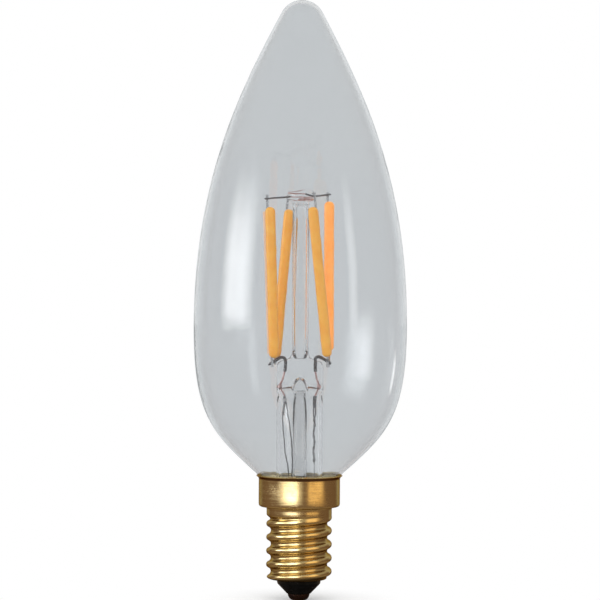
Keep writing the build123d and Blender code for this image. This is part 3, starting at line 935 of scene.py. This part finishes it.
@dataclass
class PressWires:
    """Hooks, copper-clad seal wires, nickel stubs and the fine strands below the press."""

    hook_radius: float = 0.33
    seal_radius: float = 0.19
    strand_radius: float = 0.13

    def seal_points(self, side: Side) -> list[Point]:
        """The seal wire, bowed outwards in the press.

        Args:
            side: the side of the stem.

        Returns:
            The points.
        """
        bow = {Side.LEFT: 0.85, Side.RIGHT: 0.65}[side]
        return [
            (side.value * 3.12, 0, 47.7), (side.value * (3.15 + bow * 0.4), 0, 46.1),
            (side.value * (3.15 + bow), 0, 44.3), (side.value * 3.2, 0, 42.5),
        ]

    def twisted(self, turns: float, phase: float) -> list[Point]:
        """One of the right pair: straight below the press, then twisted, then apart to the board.

        Args:
            turns: how many times the pair is twisted.
            phase: this strand's angle in the twist.

        Returns:
            The strand's points.
        """
        spread = 0.22 if phase else -0.22
        points = [(3.15 + spread, 0, 42.4), (3.12 + spread, 0, 40.0), (3.08 + spread * 0.8, 0, 38.4)]
        steps = 20
        for step in range(steps + 1):
            share = step / steps
            angle = math.tau * turns * share + phase
            sway = 0.1 * math.sin(share * 14)
            reach = 0.115
            points.append((3.0 + sway + reach * math.cos(angle), reach * math.sin(angle), 37.6 - 8.2 * share))
        points += [(3.1, 0.2, 27.6), (3.2 + spread * 0.5, 0.6, 21.0), (3.1 + spread * 0.6, 1.0, 15.42)]
        return points

    def build(self, palette: Palette) -> None:
        """Draws every wire of the press.

        Args:
            palette: the finishes.
        """
        for side in Side:
            name = side.name.lower()
            hook = drawn(smooth_path(HOOKS[side]), 2 * self.hook_radius, swell=rounded_end)
            finish_piece(hook, f"hook_wire_{name}", palette["nickel"], [f"hook_{name}"])
            seal = drawn(smooth_path(self.seal_points(side)), 2 * self.seal_radius, swell=knotted)
            finish_piece(seal, f"copper_seal_{name}", palette["copper"], [f"seal_wire_{name}"])
        for side, (width, points) in STUBS.items():
            name = side.name.lower()
            stub = drawn(smooth_path(points), width)
            finish_piece(stub, f"stub_wire_{name}", palette["nickel"], [f"lead_stub_{name}"])
        # The bead stands where the left lead shows a white glint; its white finish paints that highlight.
        weld = bead((-3.2, -0.05, 41.55), 0.5, (1.1, 1, 0.85))
        finish_piece(weld, "weld_bead_left", palette["solder"], [])
        for name, points in STRANDS.items():
            strand = drawn(smooth_path(points), 2 * self.strand_radius, sides=8)
            finish_piece(strand, f"{name}_wire", palette["strand"], [name])
        for name, phase in (("strand_right_a", 0.0), ("strand_right_b", math.pi)):
            strand = drawn(smooth_path(self.twisted(3.5, phase), 4), 0.31, swell=thinned, sides=8)
            finish_piece(strand, f"{name}_wire", palette["strand"], [name])
        end = bead((3.05, 0.05, 29.4), 0.34, (1, 1, 1.7))
        finish_piece(end, "strand_solder_right", palette["strand"], [])


def knotted(share: float) -> float:
    """The size of a seal wire along its length: thicker at its weld, where it bows out most."""
    return 1 + 1.1 * math.exp(-(((share - 0.64) / 0.07) ** 2))


def thinned(share: float) -> float:
    """The size of a twisted strand along its length: one fine wire goes on below its solder."""
    return 1 if share < 0.88 else 0.4


def rounded_end(share: float) -> float:
    """The size of a wire along its length, drawn in at its very end."""
    return 1 if share < 0.97 else 0.62


@dataclass
class ButtonWires:
    """Two bars that cross in the button: copper-clad in the glass and nickel outside it."""

    radius: float = 0.19
    side_bar: tuple[Point, ...] = (
        (-7.522, -3.508, 83.36), (-1.994, -0.93, 83.92), (1.994, 0.93, 84.0), (6.254, 2.916, 84.62),
    )
    depth_bar: tuple[Point, ...] = (
        (2.62, -5.619, 83.819), (0.93, -1.994, 84.469), (-0.93, 1.994, 84.469), (-2.62, 5.619, 83.819),
    )

    def build(self, palette: Palette) -> None:
        """Draws the arms and the seals.

        Args:
            palette: the finishes.
        """
        for bar, names in (
            (self.side_bar, ("side_arm_left", "side_arm_seal", "side_arm_right")),
            (self.depth_bar, ("depth_arm_front", "depth_arm_seal", "depth_arm_back")),
        ):
            for index, name in enumerate(names):
                start, end = Vector(bar[index]), Vector(bar[index + 1])
                seal = name.endswith("seal")
                material = palette["copper"] if seal else palette["nickel"]
                steps = [start.lerp(end, share) for share in (0, 0.03, 0.5, 0.97, 1)]
                wire = drawn(steps, 2 * self.radius * (0.48 if seal else 1), swell=both_ends)
                finish_piece(wire, f"{name}_wire", material, [name])


def both_ends(share: float) -> float:
    """The size of a short wire along its length, drawn in at both ends."""
    return 0.7 if share in (0, 1) else 1


@dataclass
class Filament:
    """One filament: a rounded phosphor coat, the ceramic strip inside it, and its metal lugs."""

    name: str
    foot: Point
    head: Point
    hook_height: float
    lean: tuple[float, float] = (0.0, 0.0)
    raised: float = 0.0
    strip_width: float = 1.1
    # Set for the coat that takes the painted warm light.
    painted_warm_light: bool = False
    length: float = 31.3
    width: float = 2.1
    thickness: float = 1.8
    inset: float = 0.9
    lug_width: float = 0.52
    lug_thickness: float = 0.16
    edge: float = 0.82
    end_taper: float = 1.3
    cuts: int = 24

    def __post_init__(self) -> None:
        """Works out its direction and its top."""
        self.along = (Vector(self.head) - Vector(self.foot)).normalized()
        self.across = (Vector((1, 0, 0)) - self.along * self.along.x).normalized()
        self.top = Vector(self.foot) + self.along * self.length

    def coat(self) -> Mesh:
        """A bar with round edges and ends, and a slightly uneven skin.

        Returns:
            The coat's mesh.
        """
        bm = bmesh.new()
        bmesh.ops.create_cube(bm, size=1)
        bmesh.ops.scale(bm, verts=bm.verts, vec=(self.width, self.thickness, self.length))
        edges = list(bm.edges)
        bmesh.ops.bevel(bm, geom=edges, offset=self.edge, segments=6, profile=0.5, affect="EDGES", material=-1)
        for step in range(1, self.cuts):
            height = -self.length / 2 + 1 + (self.length - 2) * step / self.cuts
            whole = list(bm.verts) + list(bm.edges) + list(bm.faces)
            bmesh.ops.bisect_plane(bm, geom=whole, plane_co=(0, 0, height), plane_no=(0, 0, 1))
        for vert in bm.verts:
            near_end = min(1.0, (self.length / 2 - abs(vert.co.z)) / self.end_taper)
            wave = 1 + 0.012 * math.sin(vert.co.z * 1.3 + len(self.name))
            wave *= 0.74 + 0.26 * math.sqrt(max(0.0, 1 - (1 - near_end) ** 2))
            vert.co.x *= wave
            vert.co.y *= wave
        foot, top = self.coat_ends()
        turn = facing((top - foot).normalized(), Vector((1, 0, 0))).to_4x4()
        bmesh.ops.transform(bm, verts=bm.verts, matrix=Matrix.Translation(foot.lerp(top, 0.5)) @ turn)
        return bm

    def coat_ends(self) -> tuple[Vector, Vector]:
        """The coat's lower and upper end; it lies a little to one side of its strip.

        Returns:
            The two points.
        """
        rise = self.along * self.raised
        foot = Vector(self.foot) + Vector((self.lean[0], 0, 0)) + rise
        return foot, self.top + Vector((self.lean[1], 0, 0)) + rise

    def strip(self) -> Mesh:
        """The ceramic strip in the coat, from lug to lug.

        Returns:
            The mesh.
        """
        rise = self.along * self.raised
        start = Vector(self.foot) + self.along * self.inset + rise
        end = self.top - self.along * self.inset + rise
        return drawn(straight(start, end), self.strip_width, 0.4, Section.FLAT, self.across)

    def upper_lug(self) -> Mesh:
        """The strip from the coat's top to a little above its bar.

        Returns:
            The mesh.
        """
        start = self.top + self.along * (self.raised - self.inset)
        end = Vector(self.head) + self.along * 0.7
        return drawn(straight(start, end), self.lug_width, self.lug_thickness, Section.FLAT, self.across)

    def lower_lug(self) -> Mesh:
        """The strip from the coat's foot down beside the hook.

        Returns:
            The mesh.
        """
        side = 1 if self.foot[1] > 0 else -1
        beside = side * (0.3 + self.lug_thickness / 2)
        path = [
            Vector(self.foot) + self.along * (self.inset + self.raised),
            Vector(self.foot),
            Vector((self.foot[0], beside, self.hook_height + 0.35)),
            Vector((self.foot[0], beside, self.hook_height - 0.8)),
        ]
        return drawn(path, self.lug_width, self.lug_thickness, Section.FLAT, self.across)

    def build(self, palette: Palette) -> None:
        """Makes the coat, the strip and both lugs.

        Args:
            palette: the finishes.
        """
        node = f"filament_{self.name}"
        coat = palette["painted_warm_light"] if self.painted_warm_light else palette["amber"]
        finish_piece(self.coat(), f"{node}_phosphor", coat, [f"{node}_coat"], 60)
        for end, mesh in (("upper", self.upper_lug()), ("lower", self.lower_lug())):
            finish_piece(mesh, f"{node}_{end}_tab", palette["lug"], [f"{node}_{end}_lug"])
        strip = self.strip()
        finish_piece(strip, f"{node}_ceramic", palette["ceramic"], [f"{node}_strip"])


@dataclass
class ScrewCap:
    """The brass shell with its rolled thread, the black insulator, the contact and the cement."""

    sides: int = 112
    wall: float = 0.3
    mouth_radius: float = 4.55
    mouth_height: float = 4.31
    thread_base: float = 4.9
    thread_top: float = 17.95
    pitch: float = 2.822
    start_angle: float = 214.0
    foot_radius: float = 6.25
    mean_radius: float = 6.36
    depth: float = 0.48
    neck_radius: float = 6.8
    thread_steps: int = 120
    run_in: float = 0.25
    run_out: float = 0.42

    def lower_rings(self) -> list[Point]:
        """The curved foot up to the thread, as (radius, height, share of the thread's depth).

        Returns:
            The points.
        """
        start = Vector((self.mouth_radius, self.mouth_height, 0))
        end = Vector((self.foot_radius, self.thread_base, 0))
        points = curve_points(start, Vector((5.6, 4.31, 0)), Vector((6.25, 4.42, 0)), end, 9)
        return [(point.x, point.y, index / 8) for index, point in enumerate(points)]

    def upper_rings(self) -> list[tuple[float, float]]:
        """The neck, shoulder, collar and flared lip, as (radius, height).

        Returns:
            The points.
        """
        return [
            (self.neck_radius, 18.5), (self.neck_radius, 18.95), (6.85, 19.28), (6.98, 19.42), (7.25, 19.47),
            (7.75, 19.5), (8.1, 19.56), (8.3, 19.68), (8.42, 19.86), (8.47, 20.15), (8.47, 21.6),
            (8.47, 23.4), (8.47, 25.2), (8.49, 25.4), (8.56, 25.57), (8.7, 25.7), (8.88, 25.81),
            (8.99, 25.97),
        ]

    def lead_angle(self, height: float) -> float:
        """The side on which the thread's crest stands at a height, in radians."""
        return math.radians(self.start_angle) + math.tau * (height - self.thread_base) / self.pitch

    def shell(self) -> Mesh:
        """Extrudes rings up the cap; round arcs wind up it for the rolled thread.

        Returns:
            The shell's mesh with its wall.
        """
        rings = []
        for radius, height, share in self.lower_rings():
            rings.append((radius, height, self.depth * share, self.lead_angle(height)))
        for step in range(1, self.thread_steps + 1):
            height = self.thread_base + (self.thread_top - self.thread_base) * step / self.thread_steps
            turn = (height - self.thread_base) / self.pitch
            fade_out = min(1.0, (self.thread_top - height) / self.pitch / self.run_out)
            smooth = [share * share * (3 - 2 * share) for share in (min(1.0, turn / self.run_in), fade_out)]
            radius = self.mean_radius + (self.foot_radius - self.mean_radius) * (1 - smooth[0])
            radius += (self.neck_radius - self.mean_radius) * (1 - smooth[1])
            rings.append((radius, height, self.depth * smooth[1], self.lead_angle(height)))
        rings += [(radius, height, 0.0, 0.0) for radius, height in self.upper_rings()]
        quarter = self.pitch / 4
        arc = (self.depth**2 + quarter**2) / (2 * self.depth)
        bm = bmesh.new()
        bmesh.ops.create_circle(bm, cap_ends=False, segments=self.sides, radius=1)
        circle = [vert.co.copy() for vert in bm.verts]
        ring = list(bm.verts)
        edges = list(bm.edges)
        for index, (radius, height, reach, angle) in enumerate(rings):
            if index:
                ring, edges = next_ring(bm, edges)
            for vert, place in zip(ring, circle):
                off = (math.atan2(place.y, place.x) - angle) % math.tau
                off = min(off, math.tau - off)
                side = 1 if off < math.pi / 2 else -1
                along = quarter * (off if side > 0 else math.pi - off) / (math.pi / 2)
                bulge = side * (math.sqrt(max(0.0, arc**2 - along**2)) - arc + self.depth) / self.depth
                vert.co = place * (radius + reach * bulge)
                vert.co.z = height
        bmesh.ops.recalc_face_normals(bm, faces=bm.faces)
        rim = max(bm.faces, key=lambda face: face.calc_center_median().xy.length)
        if rim.normal.xy.dot(rim.calc_center_median().xy) < 0:
            bmesh.ops.reverse_faces(bm, faces=bm.faces)
        bmesh.ops.solidify(bm, geom=list(bm.faces), thickness=self.wall)
        return bm

    def insulator(self) -> Mesh:
        """The black cone below the shell, with its plug inside the shell's foot.

        Returns:
            The mesh.
        """
        outline = [
            (0.0, 5.15), (5.5, 5.15), (5.4, 4.85), (4.5, 4.66), (4.52, 4.3), (4.54, 3.8), (4.46, 3.5),
            (4.2, 3.2), (3.75, 2.74), (3.3, 2.28), (2.86, 1.82), (2.6, 1.55), (2.5, 1.44), (2.36, 1.4),
            (1.12, 1.4), (1.12, 3.02), (0.0, 3.02),
        ]
        return spun(outline, 96)

    def contact(self) -> Mesh:
        """The domed contact with its flat tip, and its peg.

        Returns:
            The mesh.
        """
        outline = [
            (0.0, 0.0), (1.2, 0.0), (1.5, 0.08), (1.78, 0.25), (2.0, 0.5), (2.16, 0.82), (2.27, 1.15),
            (2.29, 1.36), (1.1, 1.39), (1.1, 3.0), (0.0, 3.0),
        ]
        return spun(outline, 80)

    def cement(self) -> Mesh:
        """The cement between the glass neck and the collar, up to the lip.

        Returns:
            The mesh.
        """
        outline = [
            (7.62, 20.9), (8.15, 20.9), (8.15, 25.0), (8.18, 25.3), (8.3, 25.6), (8.42, 25.78),
            (8.36, 25.8), (8.16, 25.58), (7.98, 25.38), (7.8, 25.0), (7.66, 24.4), (7.62, 23.7),
        ]
        return spun(outline, 96, ring=True)

    def build(self, palette: Palette) -> None:
        """Makes the cap's pieces.

        Args:
            palette: the finishes.
        """
        finish_piece(self.shell(), "brass_shell", palette["brass"], ["screw_shell"], 50)
        plug = self.insulator()
        finish_piece(plug, "black_insulator", palette["black_glass"], ["insulator"])
        finish_piece(self.contact(), "contact_button", palette["contact"], ["contact"])
        finish_piece(self.cement(), "cement_ring", palette["cement"], ["capping_cement"])


@dataclass
class Driver:
    """The driver inside the cap, which stays as the CAD has it."""

    def build(self, palette: Palette) -> None:
        """Dresses the driver's nodes.

        Args:
            palette: the finishes.
        """
        for name, material in (
            ("driver_board", palette["board"]),
            ("bridge_rectifier", palette["plastic"]),
            ("driver_chip", palette["plastic"]),
            ("smoothing_capacitor", palette["can"]),
            ("fuse_resistor", palette["lacquer"]),
            ("contact_lead", palette["tinned"]),
            ("shell_lead", palette["tinned"]),
        ):
            dress_node(name, material)


@dataclass(frozen=True)
class Lamp:
    """A soft rectangular lamp that faces the bulb, with lengths in metres and angles in degrees.

    It stands at an azimuth to the right of the camera and at an elevation above its target height.
    Its level is how bright its face is, where 1 is white paper. Its fades are how far the left,
    right, lower and upper sides fade, as shares of the face. It lights only the pieces in lit, or
    all if there are none. A hidden lamp shows in no reflection and through no glass.
    """

    name: str
    azimuth: float
    elevation: float
    reach: float
    size: tuple[float, float]
    level: float
    colour: Colour = WHITE
    target: float = 0.06
    fades: tuple[float, float, float, float] = (0, 0, 0, 0)
    lit: tuple[str, ...] = ()
    hidden: bool = False

    def build(self) -> None:
        """Makes the lamp."""
        data = bpy.data.lights.new(self.name, "AREA")
        data.shape = "RECTANGLE"
        data.size, data.size_y = self.size
        data.energy = self.level * math.pi * self.size[0] * self.size[1]
        data.color = self.colour
        turn, rise = math.radians(self.azimuth), math.radians(self.elevation)
        back = Vector((math.sin(turn) * math.cos(rise), -math.cos(turn) * math.cos(rise), math.sin(rise)))
        lamp = bpy.data.objects.new(self.name, data)
        lamp.location = Vector((0, 0, self.target)) + back * self.reach
        lamp.rotation_mode = "QUATERNION"
        lamp.rotation_quaternion = back.to_track_quat("Z", "Y")
        bpy.context.scene.collection.objects.link(lamp)
        self.soften(data)
        if self.lit:
            receivers = bpy.data.collections.new(f"{self.name}_lights")
            for piece in self.lit:
                receivers.objects.link(bpy.data.objects[piece])
            lamp.light_linking.receiver_collection = receivers
        lamp.visible_glossy = not self.hidden
        lamp.visible_transmission = not self.hidden
        LOG.info("%s: lamp", self.name)

    def soften(self, data: bpy.types.AreaLight) -> None:
        """Fades the lamp's face towards its sides, and hides it straight through the whole bulb.

        Args:
            data: the lamp's data.
        """
        data.use_nodes = True
        board = NodeBoard(data.node_tree)
        face = board.add("ShaderNodeNewGeometry").outputs["Parametric"]
        apart = board.add("ShaderNodeSeparateXYZ", {0: face}).outputs
        path = board.add("ShaderNodeLightPath").outputs
        mirrored = board.maths("GREATER_THAN", path["Glossy Depth"], 0.5)
        short = board.maths("LESS_THAN", path["Transmission Depth"], 3.5)
        strength = board.maths("MAXIMUM", mirrored, short)
        for axis, low, high in (("X", *self.fades[:2]), ("Y", *self.fades[2:])):
            if low:
                strength = board.maths("MULTIPLY", strength, board.spread(apart[axis], 0, low))
            if high:
                share = board.spread(apart[axis], 1 - high, 1, 1, 0)
                strength = board.maths("MULTIPLY", strength, share)
        glow = board.add("ShaderNodeEmission", {"Strength": strength})
        board.add("ShaderNodeOutputLight", {"Surface": glow.outputs[0]})


@dataclass
class Studio:
    """Floor and surroundings, lamps, and the camera of the photograph.

    The camera and rays through glass see white. Reflections see the other colours: the surroundings,
    the floor near the bulb and under it, a pale card behind with the floor before it, and the
    ceiling. The rings are distances from the bulb in metres between which the floor changes.
    """

    distance: float = 0.5
    height: float = 0.0625
    picture_height: float = 0.125
    sensor: float = 36.0
    roll: float = 0.35
    shift: float = -0.0001
    paper: Colour = (0.86, 0.86, 0.86)
    grey: Colour = (0.80, 0.80, 0.80)
    gloss: Colour = (0.185, 0.115, 0.075)
    near_gloss: Colour = (0.30, 0.22, 0.14)
    shaded: Colour = (0.05, 0.035, 0.025)
    far_floor: Colour = (0.56, 0.59, 0.60)
    far_card: Colour = (0.70, 0.73, 0.74)
    ceiling: Colour = (0.38, 0.33, 0.25)
    shadow_ring: tuple[float, float] = (0.004, 0.024)
    shaded_ring: tuple[float, float] = (0.006, 0.016)
    near_ring: tuple[float, float] = (0.018, 0.05)
    card_ring: tuple[float, float] = (0.05, 0.12)
    card_cone: tuple[float, float] = (0.55, 0.82)
    ceiling_rise: tuple[float, float] = (0.15, 0.6)

    def rays(self, board: NodeBoard) -> tuple[NodeSocket, NodeSocket]:
        """Two masks, for rays from the camera or through glass and for reflected rays.

        Args:
            board: the nodes that take them.

        Returns:
            The masks.
        """
        path = board.add("ShaderNodeLightPath").outputs
        seen = board.maths("MAXIMUM", path["Is Camera Ray"], path["Is Transmission Ray"])
        return seen, path["Is Glossy Ray"]

    def floor(self) -> None:
        """A pale floor that keeps the shadow by the bulb and is white further out."""
        bm = bmesh.new()
        bmesh.ops.create_grid(bm, x_segments=1, y_segments=1, size=6)
        mesh = bpy.data.meshes.new("studio_floor")
        bm.to_mesh(mesh)
        bm.free()
        floor = bpy.data.objects.new("studio_floor", mesh)
        bpy.context.scene.collection.objects.link(floor)
        material = bpy.data.materials.new("studio_paper")
        material.use_nodes = True
        board = NodeBoard(material.node_tree)
        place = board.add("ShaderNodeTexCoord").outputs["Object"]
        length = board.add("ShaderNodeVectorMath", {0: place}, operation="LENGTH").outputs["Value"]
        apart = board.add("ShaderNodeSeparateXYZ", {0: place})
        rearward = board.spread(board.maths("DIVIDE", apart.outputs["Y"], length), *self.card_cone)
        behind = board.maths("MULTIPLY", rearward, board.spread(length, *self.card_ring))
        under = board.blend(board.spread(length, *self.shaded_ring), self.shaded, self.near_gloss)
        mirrored = board.blend(board.spread(length, *self.near_ring), under, self.gloss)
        mirrored = board.blend(behind, mirrored, self.far_floor)
        seen, glossy = self.rays(board)
        white = board.add("ShaderNodeEmission", {"Color": board.blend(seen, mirrored, WHITE)})
        paper = board.add("ShaderNodeBsdfDiffuse", {0: self.paper})
        away = board.maths("MULTIPLY", seen, board.spread(length, *self.shadow_ring, 0.35, 1))
        shown = board.maths("MAXIMUM", away, glossy)
        mix = board.add("ShaderNodeMixShader", {0: shown, 1: paper.outputs[0], 2: white.outputs[0]})
        board.add("ShaderNodeOutputMaterial", {"Surface": mix.outputs[0]})
        mesh.materials.append(material)
        LOG.info("studio_floor: pale paper")

    def surroundings(self) -> None:
        """White to the camera and through glass, coloured in reflections, and a plain grey else."""
        world = bpy.data.worlds.new("studio")
        bpy.context.scene.world = world
        world.use_nodes = True
        board = NodeBoard(world.node_tree)
        direction = board.add("ShaderNodeTexCoord").outputs["Generated"]
        values = {0: direction, 1: (0, 1, 0)}
        rearward = board.add("ShaderNodeVectorMath", values, operation="DOT_PRODUCT").outputs["Value"]
        rise = board.add("ShaderNodeSeparateXYZ", {0: direction}).outputs["Z"]
        plain = board.blend(board.spread(rise, *self.ceiling_rise), self.gloss, self.ceiling)
        mirrored = board.blend(board.spread(rearward, *self.card_cone), plain, self.far_card)
        seen, glossy = self.rays(board)
        colour = board.blend(seen, board.blend(glossy, self.grey, mirrored), WHITE)
        background = board.add("ShaderNodeBackground", {"Color": colour})
        board.add("ShaderNodeOutputWorld", {"Surface": background.outputs[0]})

    def camera(self) -> None:
        """The camera, level with the bulb's middle, with the photograph's slight roll."""
        data = bpy.data.cameras.new("photo_camera")
        data.sensor_width = self.sensor
        data.lens = self.sensor / 2 / (self.picture_height / 2 / self.distance)
        data.clip_start, data.clip_end = 0.01, 20
        camera = bpy.data.objects.new("photo_camera", data)
        camera.location = (self.shift, -self.distance, self.height)
        upright = Quaternion((1, 0, 0), math.radians(90))
        camera.rotation_mode = "QUATERNION"
        camera.rotation_quaternion = upright @ Quaternion((0, 0, 1), math.radians(self.roll))
        bpy.context.scene.collection.objects.link(camera)
        bpy.context.scene.camera = camera
        bpy.context.scene.view_settings.view_transform = "Standard"
        LOG.info("photo_camera: %.0f mm lens", data.lens)

    def build(self) -> None:
        """Makes the floor, the surroundings, the lamps and the camera."""
        self.floor()
        self.surroundings()
        for lamp in LAMPS:
            lamp.build()
        self.camera()


FILAMENTS = (
    # left_outer's strip is wider and its coat leans to the right, so that the pale strip shows along the
    # coat's left edge: a painted highlight of the window lamp.
    Filament("left_outer", (-5.85, -1.1, 50.649), (-7.027, -2.838, 83.556), 49.35, (0.45, 0.55), -0.2, 1.86),
    Filament("left_inner", (-5.2, 1.1, 50.499), (-2.802, 4.872, 83.916), 49.8, (0.1, 0.5)),
    Filament("right_inner", (5.7, -1.1, 50.299), (2.802, -4.872, 83.916), 49.3, (0.0, -0.6), 0.4),
    Filament("right_outer", (6.0, 1.1, 50.799), (5.574, 3.039, 84.4), 49.3, (0.0, 0.33), 1.1, painted_warm_light=True),
)

CAP = ("brass_shell", "black_insulator", "contact_button")
GLASS = ("envelope_glass",)
LAMPS = (
    Lamp("window_left", -73, 13, 0.5, (0.45, 0.30), 4.4, WHITE, 0.068, (0.38, 0.38, 0.15, 0.6)),
    Lamp(
        "card_front_left", -34, 0, 0.12, (0.15, 0.16), 3.3, (1.0, 0.98, 0.96), 0.08, (0.75, 0.15, 0, 0.2), CAP
    ),
    Lamp("card_front", 0, 0, 0.13, (0.05, 0.11), 0.55, (1.0, 0.97, 0.80), 0.055, (0, 0.4, 0, 0.2), CAP),
    Lamp("panel_right", 49, 0, 0.12, (0.125, 0.16), 0.95, (1.0, 0.68, 0.31), 0.08, (0.12, 0.35, 0, 0.2), CAP),
    Lamp("panel_far_right", 58, 13, 0.5, (0.13, 0.34), 1.9, WHITE, 0.068, (0.4, 0.4, 0.2, 0.5), GLASS),
    Lamp("card_low_right", 71, -5, 0.2, (0.125, 0.088), 1.5, WHITE, 0.05, (0.4, 0.4, 0.3, 0.35), GLASS),
    Lamp("strip_right", 119, -9, 0.15, (0.015, 0.04), 2.6, WHITE, 0.05, (0.4, 0.4, 0.3, 0.3), GLASS),
    Lamp("fill_front", 0, 40, 0.6, (0.5, 0.3), 4.2, hidden=True),
)


def main() -> None:
    """Builds the bulb piece by piece, then the studio."""
    logging.basicConfig(level=logging.INFO, format="%(name)s: %(message)s")
    palette = mixed_palette()
    ScrewCap().build(palette)
    Envelope().build(palette)
    GlassStem().build(palette)
    PressWires().build(palette)
    ButtonWires().build(palette)
    for filament in FILAMENTS:
        filament.build(palette)
    Driver().build(palette)
    Studio().build()


if __name__ == "__main__":
    main()
